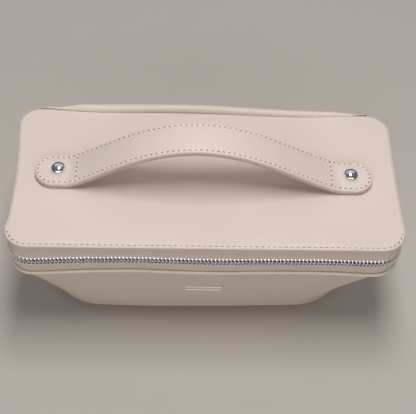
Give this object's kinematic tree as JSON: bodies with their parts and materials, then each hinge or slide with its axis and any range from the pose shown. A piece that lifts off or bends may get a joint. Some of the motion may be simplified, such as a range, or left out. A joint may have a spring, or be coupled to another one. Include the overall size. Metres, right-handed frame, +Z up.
{
  "type": "cosmetic case",
  "caption": "Soft zip-around cosmetic case with a stiffened hinged lid, a riveted strap handle on top and two zip sliders.",
  "frame": {"origin": "centre of the base, on the surface that the case stands on", "axes": "+Z up out of the base, +X to the case's right along its length, -Y out of its front"},
  "size_m": [0.255, 0.1193, 0.1415],
  "materials": {
    "blush_leather": "smooth faux leather, soft sheen",
    "zip_tape": "woven twill tape",
    "lining_cloth": "plain lining cloth",
    "stiffener_sheet": "plain stiffening sheet",
    "strap_filler": "bonded felt filler",
    "bright_nickel": "polished nickel plate"
  },
  "bodies": {
    "case": {"body_wall": "blush_leather", "wall_stiffener": "stiffener_sheet", "wall_lining": "lining_cloth", "base_panel": "blush_leather", "base_board": "stiffener_sheet", "base_lining": "lining_cloth", "body_piping": "blush_leather", "zip_tape_lower": "zip_tape", "zip_teeth_lower": "bright_nickel", "zip_stop_left": "bright_nickel", "zip_stop_right": "bright_nickel", "hinge_panel": "blush_leather", "hinge_lining": "lining_cloth", "front_badge": "bright_nickel"},
    "lid": {"lid_cover": "blush_leather", "lid_board": "stiffener_sheet", "lid_lining": "lining_cloth", "zip_tape_upper": "zip_tape", "zip_teeth_upper": "bright_nickel", "handle_top_leather": "blush_leather", "handle_filler": "strap_filler", "handle_under_leather": "blush_leather", "rivet_cap_left": "bright_nickel", "rivet_cap_right": "bright_nickel", "rivet_base_left": "bright_nickel", "rivet_base_right": "bright_nickel"},
    "slider_front": {"zip_slider_front": "bright_nickel", "zip_bail_front": "bright_nickel"},
    "slider_rear": {"zip_slider_rear": "bright_nickel", "zip_bail_rear": "bright_nickel"},
    "pull_front": {"zip_pull_front": "bright_nickel"},
    "pull_rear": {"zip_pull_rear": "bright_nickel"}
  },
  "joints": [
    {"name": "lid_hinge", "type": "hinge", "parent": "case", "child": "lid", "pos_m": [0, 0.056, 0.102], "axis": [-1, 0, 0], "range_deg": [0, 115]},
    {"name": "zip_travel_front", "type": "slide", "parent": "case", "child": "slider_front", "axis": [0, -1, 0], "range_m": [0, 0.024]},
    {"name": "zip_travel_rear", "type": "slide", "parent": "case", "child": "slider_rear", "axis": [0, 1, 0], "range_m": [0, 0.024]},
    {"name": "pull_swing_front", "type": "hinge", "parent": "slider_front", "child": "pull_front", "pos_m": [0.1276, -0.0115, 0.0868], "axis": [-1, 0, 0], "range_deg": [-10, 60]},
    {"name": "pull_swing_rear", "type": "hinge", "parent": "slider_rear", "child": "pull_rear", "pos_m": [0.1276, 0.0115, 0.0868], "axis": [1, 0, 0], "range_deg": [-10, 60]}
  ]
}
